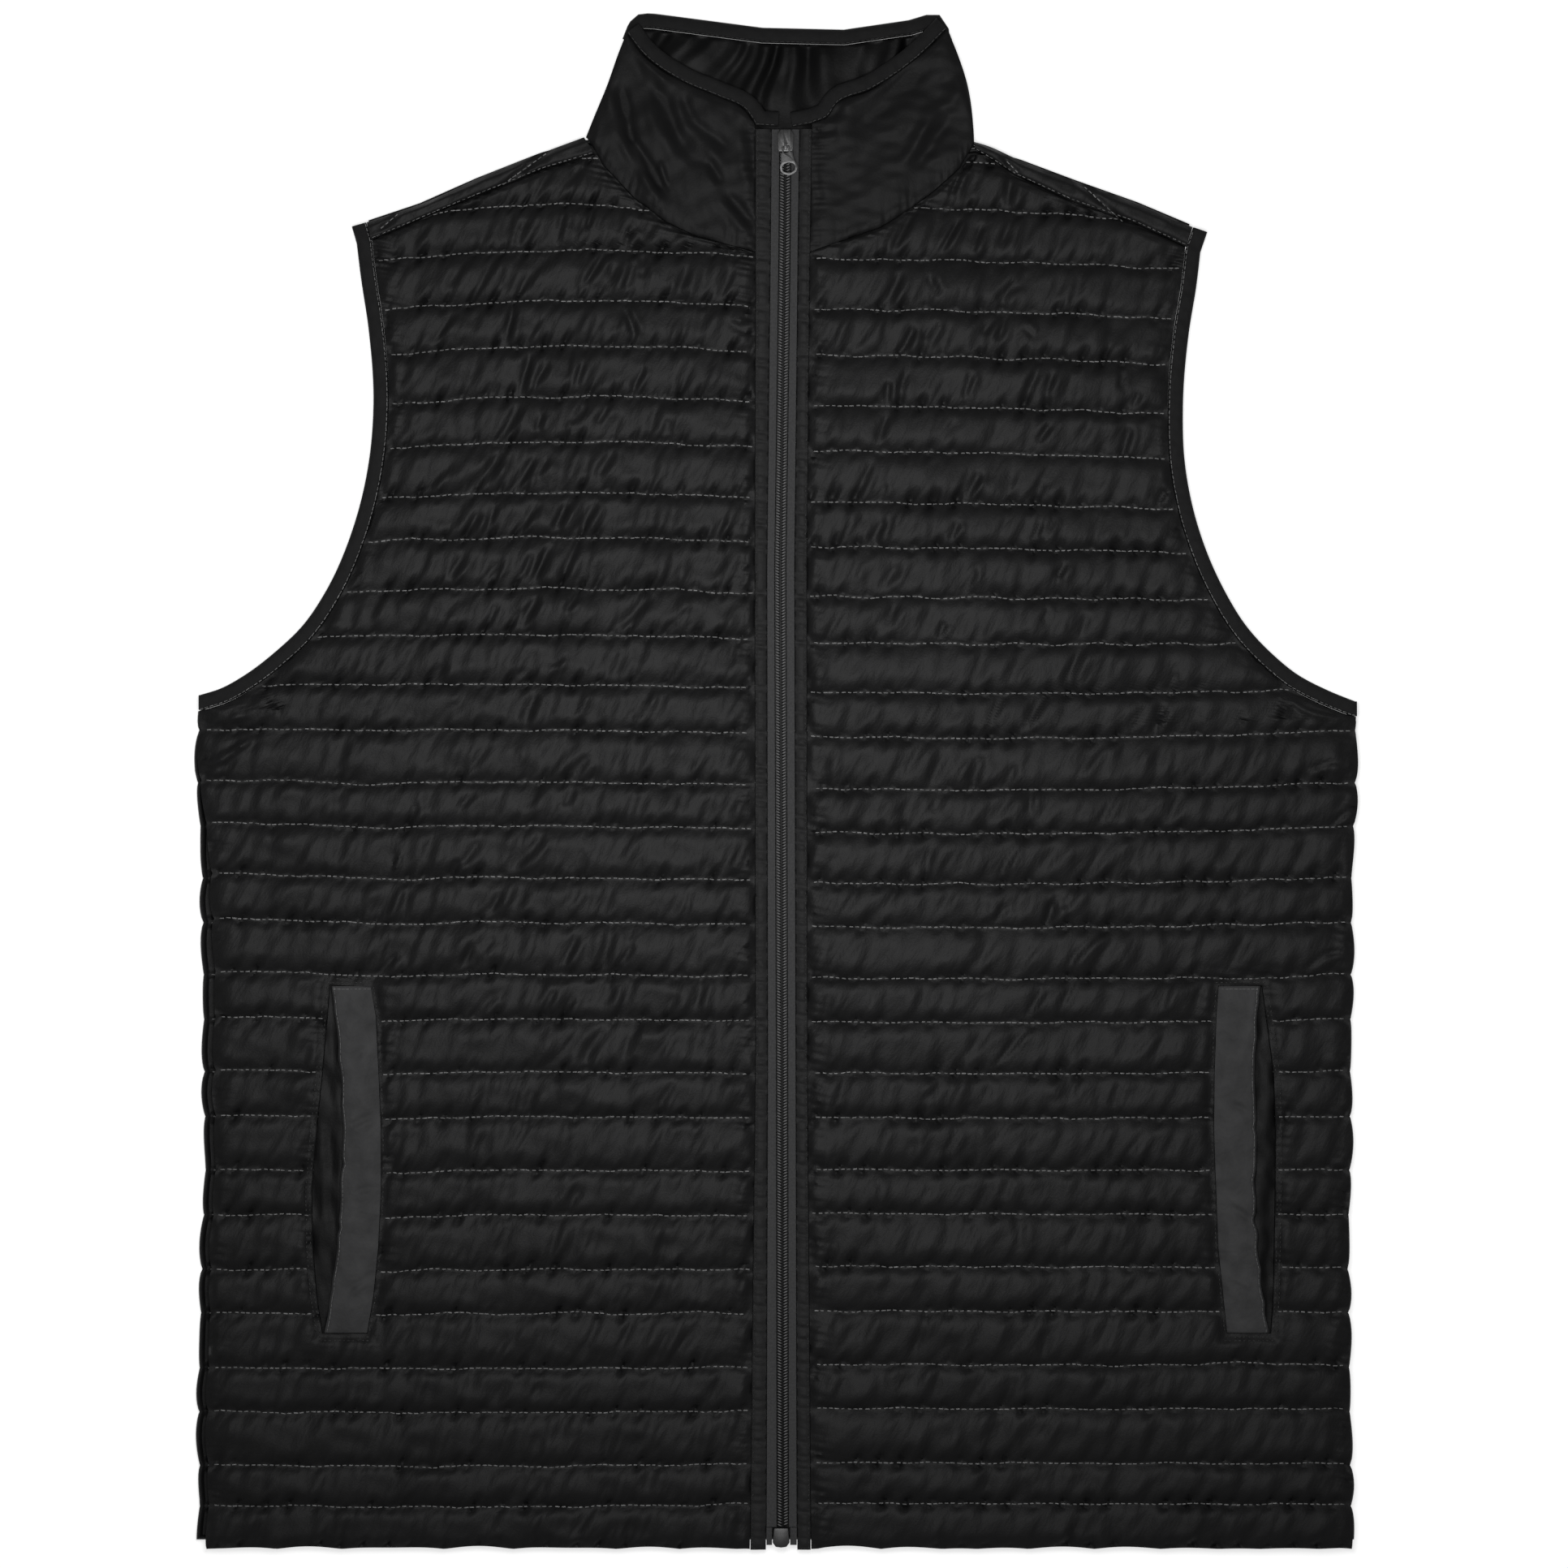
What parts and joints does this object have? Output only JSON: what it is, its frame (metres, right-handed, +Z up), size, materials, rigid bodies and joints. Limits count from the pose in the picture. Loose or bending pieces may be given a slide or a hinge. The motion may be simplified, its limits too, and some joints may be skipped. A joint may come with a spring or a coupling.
{
  "type": "quilted vest with a standing collar and a full front zip, laid flat on its back",
  "caption": "Black quilted zip vest laid flat, front up, with a standing collar, bound armholes and welt pockets.",
  "frame": {"origin": "under the middle of the laid-out vest, on the surface that it lies on", "axes": "+X to the right as the vest lies front up, +Y from the hem to the collar, +Z up off the surface"},
  "size_m": [0.6031, 0.7954, 0.0112],
  "materials": {
    "shell": "satin",
    "lining": "satin",
    "binding": "matte",
    "welt": "matte",
    "tape": "matte",
    "zip": "satin",
    "thread": "matte"
  },
  "bodies": {
    "vest": {"front_left": "shell", "front_right": "shell", "back_panel": "shell", "back_shoulder_left": "shell", "back_shoulder_right": "shell", "collar_front_left": "lining", "collar_front_right": "lining", "collar_back": "lining", "collar_binding_left": "binding", "collar_binding_right": "binding", "collar_binding_back": "binding", "armhole_binding_front_left": "binding", "armhole_binding_front_right": "binding", "armhole_binding_back_left": "binding", "armhole_binding_back_right": "binding", "pocket_welt_left": "welt", "pocket_welt_right": "welt", "pocket_layer_left": "lining", "pocket_layer_right": "lining", "zip_placket_left": "shell", "zip_placket_right": "shell", "zip_tape_left": "tape", "zip_tape_right": "tape", "zip_film_left": "tape", "zip_film_right": "tape", "zip_chain": "zip", "zip_retainer": "zip", "zip_slider": "zip"},
    "pull_tab": {"zip_pull_tab": "zip"}
  },
  "joints": [
    {"name": "pull_tab_swing", "type": "hinge", "parent": "vest", "child": "pull_tab", "pos_m": [0.0048, 0.3292, 0.0096], "axis": [-0.9877, -0.1564, 0], "range_deg": [0, 170]}
  ]
}
